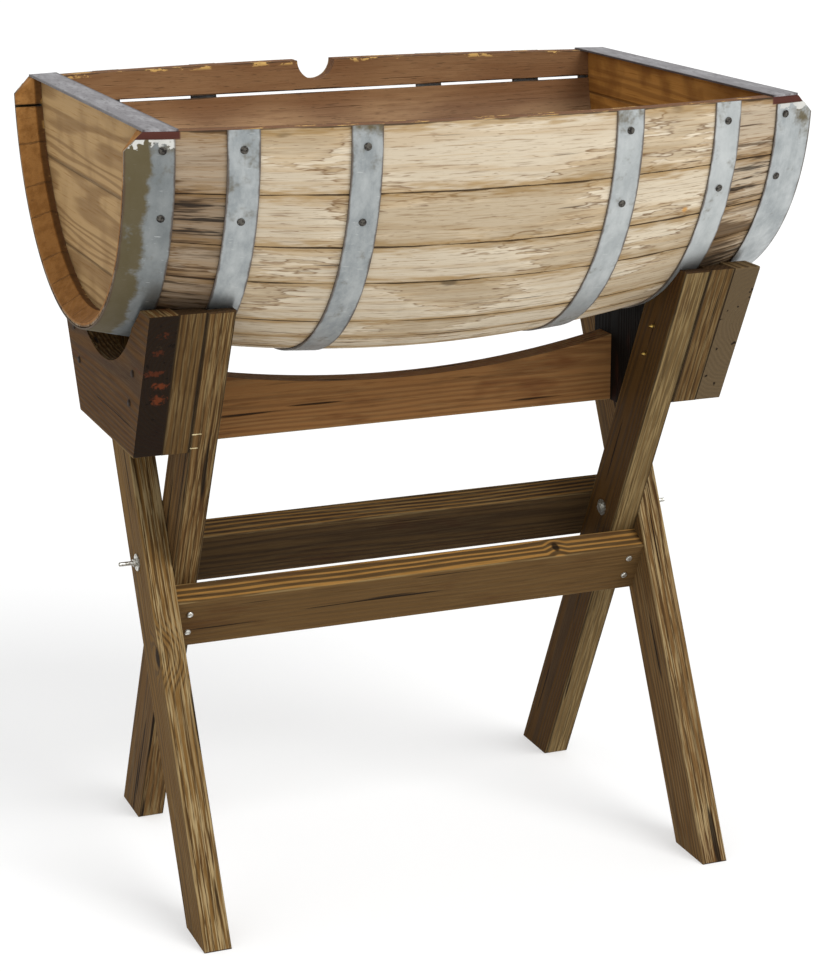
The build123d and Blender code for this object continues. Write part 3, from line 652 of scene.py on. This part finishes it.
sinLean, cosLean = math.sin(boards["lean"]), math.cos(boards["lean"])
rearward = ((0, sinLean, cosLean), (0, cosLean, -sinLean))  # along and across a leg whose top is at the rear
forward = ((0, -sinLean, cosLean), (0, cosLean, sinLean))  # and one whose top is at the front
upright = ((0, 0, 1), (0, 1, 0))
crossways = ((0, 1, 0), (0, 0, 1))
flatRail = ((1, 0, 0), (0, 0, 1))
tiltedRail = ((1, 0, 0), forward[0])
# near-black painted shade for the rail blocks, which stand in deep shadow under the trough
shadedPine = {"early": "#0F0B08", "late": "#080604", "faceWorn": 0.0, "edgeWorn": 0.0}
timbers = {  # the axes of each board, how its looks differ, its knots, and marks on it
    "left_outer_leg": (rearward, {"early": "#6C502A", "pale": "#9A8660", "edgeWorn": 0.95},
                       [((-0.10, -0.030, 0.019), 0.011)]),
    "left_inner_leg": (forward, {"cracked": 0.66, "seam": 0.8}, [],
                       [((0.300, -0.0395, 0.012), (0.0012, 0.004, 0.008), "#D8C79A", 0.9),
                        ((0.276, -0.0395, 0.013), (0.0012, 0.004, 0.007), "#D8C79A", 0.9)]),
    "right_outer_leg": (rearward, {"early": "#664B2A", "pale": "#9A8660", "edgeWorn": 0.9}),
    # the right inner leg's dark colours are painted shade for its inner face, which lies in shadow; its pale
    # lifted edges keep the narrow front face lighter
    "right_inner_leg": (forward, {"early": "#4A3214", "late": "#2A1B09", "edgeWorn": 0.85, "faceWorn": 0.05,
                                  "edgeLift": 0.35, "seam": 0.8}),
    "left_spacer_block": (forward, {"early": "#563F22", "edgeWorn": 0.40, "seam": 0.9}),
    "right_spacer_block": (forward, {"early": "#5C4426", "edgeWorn": 0.55, "seam": 0.9}),
    "left_rail_block": (upright, shadedPine),
    "right_rail_block": (upright, shadedPine),
    "left_saddle_board": (crossways, {"early": "#54391C", "late": "#2E1D0D", "end": "#18110C", "redness": 0.4,
                                      "driftMm": 110, "faceWorn": 0.10, "endCover": 0.92},
                          [], [((-0.18, 0.077, 0.004), (0.06, 0.007, 0.014), "#5A2A16", 0.6),
                               ((-0.18, 0.052, -0.002), (0.06, 0.005, 0.016), "#5A2A16", 0.5),
                               ((-0.18, 0.022, -0.004), (0.06, 0.006, 0.015), "#5A2A16", 0.6),
                               ((-0.18, 0.003, 0.006), (0.06, 0.006, 0.012), "#6A3218", 0.65),
                               ((-0.18, -0.018, 0.006), (0.06, 0.008, 0.012), "#6A3218", 0.65),
                               ((-0.19, 0.060, 0.0), (0.03, 0.003, 0.012), "#8B7650", 0.7)]),
    "right_saddle_board": (crossways, {"early": "#5E4A30", "end": "#5E4F3A", "endCover": 0.85}),
    "top_rail": (flatRail, {"early": "#835C36", "late": "#50321A", "redness": 0.35, "faceWorn": 0.15,
                            "faceRings": 0.4},
                 [((-0.20, -0.012, -0.019), 0.0035), ((0.13, 0.004, -0.019), 0.003)],
                 [((-0.16, -0.004, -0.019), (0.13, 0.005, 0.004), "#4E2014", 0.75),
                  ((0.20, 0.012, -0.019), (0.11, 0.004, 0.004), "#5A2818", 0.6)]),
    "front_stretcher": (tiltedRail, {"early": "#5E4628", "late": "#46321A", "faceRings": 0.22,
                                     "edgeRings": 0.8, "faceWorn": 0.08, "edgeWorn": 0.15, "edgeGold": 0.7,
                                     "ringMm": 9, "wobble": 4.5, "driftMm": 45, "pith": (0, 0.05, 0.02)},
                        [((0.22, 0.042, 0.0), 0.004)]),
    "rear_stretcher": (tiltedRail, {"early": "#4E3B24", "late": "#2A1D12", "faceWorn": 0.10, "edgeWorn": 0.30,
                                    "edgeGold": 0.35}),
}
for name, (axes, *looks) in timbers.items():
    wide = boards["width"]
    if "stretcher" in name:
        wide = boards["stretcherWidth"]
    if "rail_block" in name:
        wide = boards["shadedWidth"]
    if name == "top_rail" or "saddle" in name:
        low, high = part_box(name)
        wide = high.z - low.z
    dress(name, stainedPine(f"stained pine {name}", name, *axes, wide / 2, *looks))
print("timber dressed:", len(timbers))


# Floor, light and camera.
studio = {
    "floorSize": 80.0, "floor": "#BCBCBB", "glow": "#F6F6F6", "floorGlow": 0.53, "speckMm": 400,
    "sky": "#F7F8FA", "skyStrength": 0.78,
    "keyStrength": 2.02, "keyFrom": (1.3, -2.4, 2.6), "keySpread": 34,
    "fillStrength": 0.22, "fillFrom": (-3, -1.5, 1.2), "fillSpread": 60,
}
made = bmesh.new()
bmesh.ops.create_grid(made, x_segments=1, y_segments=1, size=studio["floorSize"] / 2)
floorMesh = bpy.data.meshes.new("floor")
made.to_mesh(floorMesh)
made.free()
floor = bpy.data.objects.new("floor", floorMesh)
bpy.context.scene.collection.objects.link(floor)
floorPaint, tree = newMaterial("pale studio floor")
speck = put(tree, "TexNoise", {"Vector": put(tree, "TexCoord", out=3), "Scale": perMm(studio["speckMm"])})
closeMaterial(tree, tint(studio["floor"]), 0.9, speck, 0.0001, Specular_IOR_Level=0.1,
              Emission_Color=tint(studio["glow"]), Emission_Strength=studio["floorGlow"])
floorMesh.materials.append(floorPaint)

world = bpy.data.worlds.new("studio")
bpy.context.scene.world = world
world.use_nodes = True
sky = world.node_tree.nodes["Background"]
sky.inputs["Color"].default_value = tint(studio["sky"])
sky.inputs["Strength"].default_value = studio["skyStrength"]
for kind in ("key", "fill"):
    lamp = bpy.data.lights.new(kind, "SUN")
    lamp.energy = studio[f"{kind}Strength"]
    lamp.angle = math.radians(studio[f"{kind}Spread"])
    light = bpy.data.objects.new(kind, lamp)
    light.rotation_mode = "QUATERNION"
    light.rotation_quaternion = Vector(studio[f"{kind}From"]).to_track_quat("Z", "Y")
    bpy.context.scene.collection.objects.link(light)
bpy.context.scene.view_settings.view_transform = "Standard"

eye = {"place": (-1.2347, -3.1797, 1.5284), "yaw": 21.40, "pitch": -16.27, "roll": -0.18, "lens": 92.08}
lens = bpy.data.cameras.new("camera")
lens.lens = eye["lens"]
camera = bpy.data.objects.new("camera", lens)
bpy.context.scene.collection.objects.link(camera)
yaw, pitch, roll = (math.radians(eye[turn]) for turn in ("yaw", "pitch", "roll"))
camera.matrix_world = (Matrix.Translation(eye["place"]) @ Matrix.Rotation(-yaw, 4, "Z")
                       @ Matrix.Rotation(math.pi / 2 + pitch, 4, "X") @ Matrix.Rotation(roll, 4, "Z"))
bpy.context.scene.camera = camera
print("studio ready")
